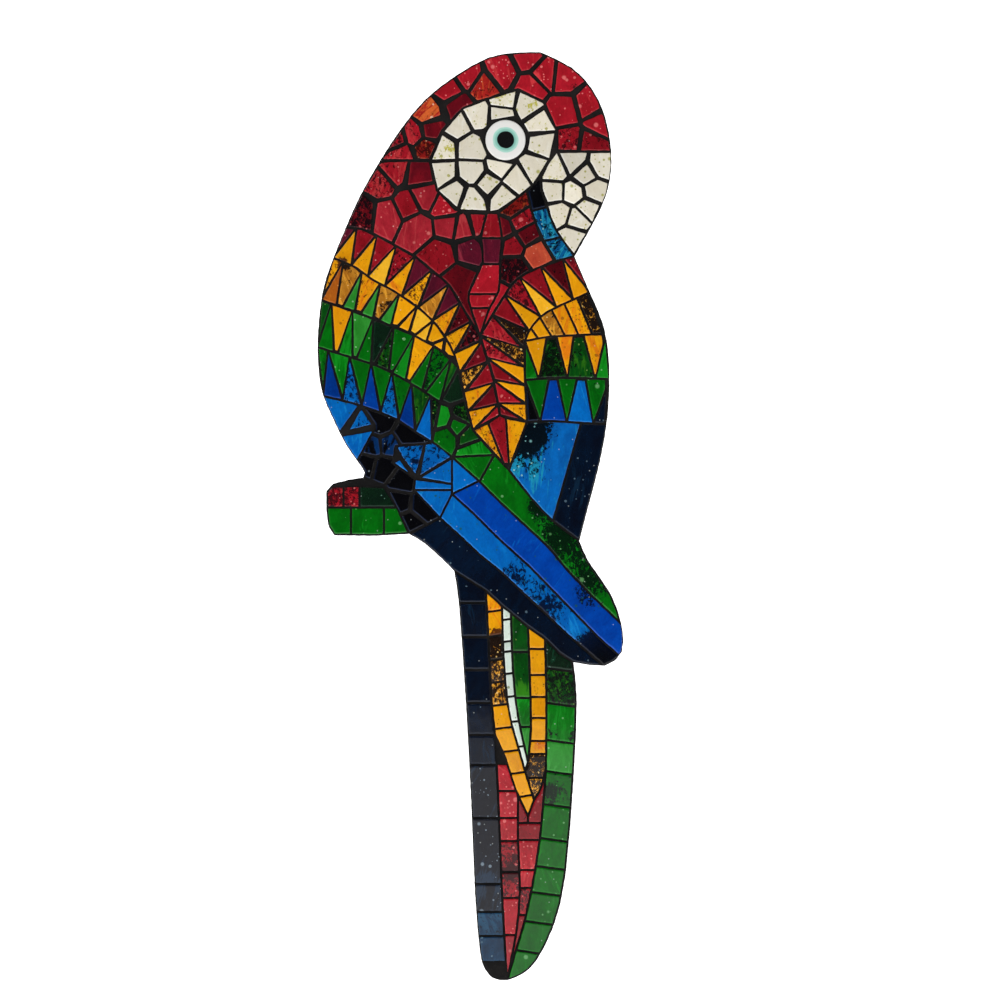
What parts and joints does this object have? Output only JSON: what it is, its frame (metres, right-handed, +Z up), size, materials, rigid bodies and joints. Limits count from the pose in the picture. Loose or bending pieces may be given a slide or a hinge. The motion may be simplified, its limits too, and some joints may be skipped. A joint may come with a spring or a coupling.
{
  "type": "mosaic panel",
  "caption": "Shaped wall panel of a macaw on a perch stub, made of painted cut glass tiles in dark grout on a flat sawn board.",
  "frame": {"origin": "a point on the board's flat back face, half way up the panel", "axes": "+Z up the panel, +X to the viewer's right, +Y out of the back into the wall; the tiles face -Y"},
  "size_m": [0.1978, 0.0126, 0.5997],
  "materials": {
    "painted_board": "matte black paint",
    "red_glass": "glossy, painted crimson with orange strokes",
    "deep_red_glass": "glossy, painted maroon to crimson",
    "cream_glass": "glossy, painted cream with fine specks",
    "gold_glass": "glossy, painted gold, some tiles mottled brown",
    "green_glass": "glossy, painted green with dark brushed mottling",
    "blue_glass": "glossy, painted blue with dark sponged speckle",
    "sky_glass": "glossy, painted bright blue with sponged speckle",
    "navy_glass": "glossy, painted near-black navy with pale specks",
    "black_glass": "glossy, painted black",
    "mint_glass": "glossy, painted pale mint",
    "eye_glass": "glossy, painted white with a mint ring and a black pupil"
  },
  "bodies": {
    "root": {"backing_board": "painted_board", "belly_black_tiles": "black_glass", "belly_blue_tiles": "blue_glass", "belly_edge_blue_tiles": "blue_glass", "breast_tip_tiles": "gold_glass", "crown_red_tiles": "red_glass", "eye_disc": "eye_glass", "face_cream_tiles": "cream_glass", "keel_red_tiles": "red_glass", "left_shoulder_gold_teeth": "gold_glass", "left_shoulder_red_teeth": "deep_red_glass", "left_wing_blue_teeth": "blue_glass", "left_wing_gold_row": "gold_glass", "left_wing_green_row": "green_glass", "left_wing_green_teeth": "green_glass", "long_green_feather": "green_glass", "long_navy_feather": "navy_glass", "long_royal_blue_feather": "blue_glass", "long_sky_blue_feather": "sky_glass", "lower_beak_blue_tiles": "blue_glass", "nape_red_tiles": "red_glass", "perch_green_tiles": "green_glass", "perch_red_tiles": "red_glass", "right_shoulder_gold_teeth": "gold_glass", "right_shoulder_red_teeth": "deep_red_glass", "right_wing_blue_feather": "blue_glass", "right_wing_blue_teeth": "blue_glass", "right_wing_gold_row": "gold_glass", "right_wing_gold_teeth": "gold_glass", "right_wing_green_teeth": "green_glass", "right_wing_lower_green_teeth": "green_glass", "right_wing_navy_feather": "navy_glass", "side_green_tiles": "green_glass", "tail_amber_column": "gold_glass", "tail_gold_column": "gold_glass", "tail_green_column": "green_glass", "tail_inner_green_column": "green_glass", "tail_left_red_column": "red_glass", "tail_navy_column": "navy_glass", "tail_right_red_column": "red_glass", "tail_white_column": "mint_glass", "throat_red_tiles": "deep_red_glass", "upper_beak_cream_tiles": "cream_glass"}
  },
  "joints": []
}
